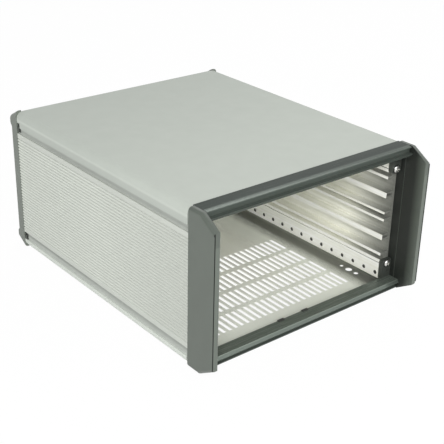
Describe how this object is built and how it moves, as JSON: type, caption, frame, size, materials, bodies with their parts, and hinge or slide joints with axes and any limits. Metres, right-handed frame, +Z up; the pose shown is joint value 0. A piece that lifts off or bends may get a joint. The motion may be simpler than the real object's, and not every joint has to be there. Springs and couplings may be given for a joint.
{
  "type": "rack mount enclosure",
  "caption": "Low desktop rack case with ribbed metal sides, a slotted floor, dark corner trims and rails, and side frames with rows of holes for plug-in circuit modules.",
  "frame": {"origin": "middle of the footprint, on the surface the case stands on", "axes": "+X to the right seen from the open front, +Y from the front opening to the rear, +Z up"},
  "size_m": [0.2524, 0.325, 0.1488],
  "materials": {
    "cover_paint": "matt grey powder coat",
    "side_paint": "satin light grey, fine ribs",
    "bare_aluminium": "bare extruded aluminium, satin",
    "trim_grey": "dark grey moulded, fine texture",
    "rail_grey": "dark grey coat on an extruded rail",
    "lug_black": "black moulded",
    "screw_zinc": "bright zinc plate",
    "clip_steel": "dark spring steel"
  },
  "bodies": {
    "root": {"bottom_cover": "cover_paint", "front_bottom_rail": "rail_grey", "front_lower_left_lug": "lug_black", "front_lower_right_lug": "lug_black", "front_lug_screws": "screw_zinc", "front_top_rail": "rail_grey", "front_upper_left_lug": "lug_black", "front_upper_right_lug": "lug_black", "left_front_trim": "trim_grey", "left_lower_side_plug": "lug_black", "left_rail_clip": "clip_steel", "left_rear_trim": "trim_grey", "left_ribbed_panel": "side_paint", "left_side_frame": "bare_aluminium", "left_upper_side_plug": "lug_black", "rear_bottom_rail": "rail_grey", "rear_lower_left_lug": "lug_black", "rear_lower_right_lug": "lug_black", "rear_lug_screws": "screw_zinc", "rear_top_rail": "rail_grey", "rear_upper_left_lug": "lug_black", "rear_upper_right_lug": "lug_black", "right_front_trim": "trim_grey", "right_lower_side_plug": "lug_black", "right_rail_clip": "clip_steel", "right_rear_trim": "trim_grey", "right_ribbed_panel": "side_paint", "right_side_frame": "bare_aluminium", "right_upper_side_plug": "lug_black", "top_cover": "cover_paint"}
  },
  "joints": []
}
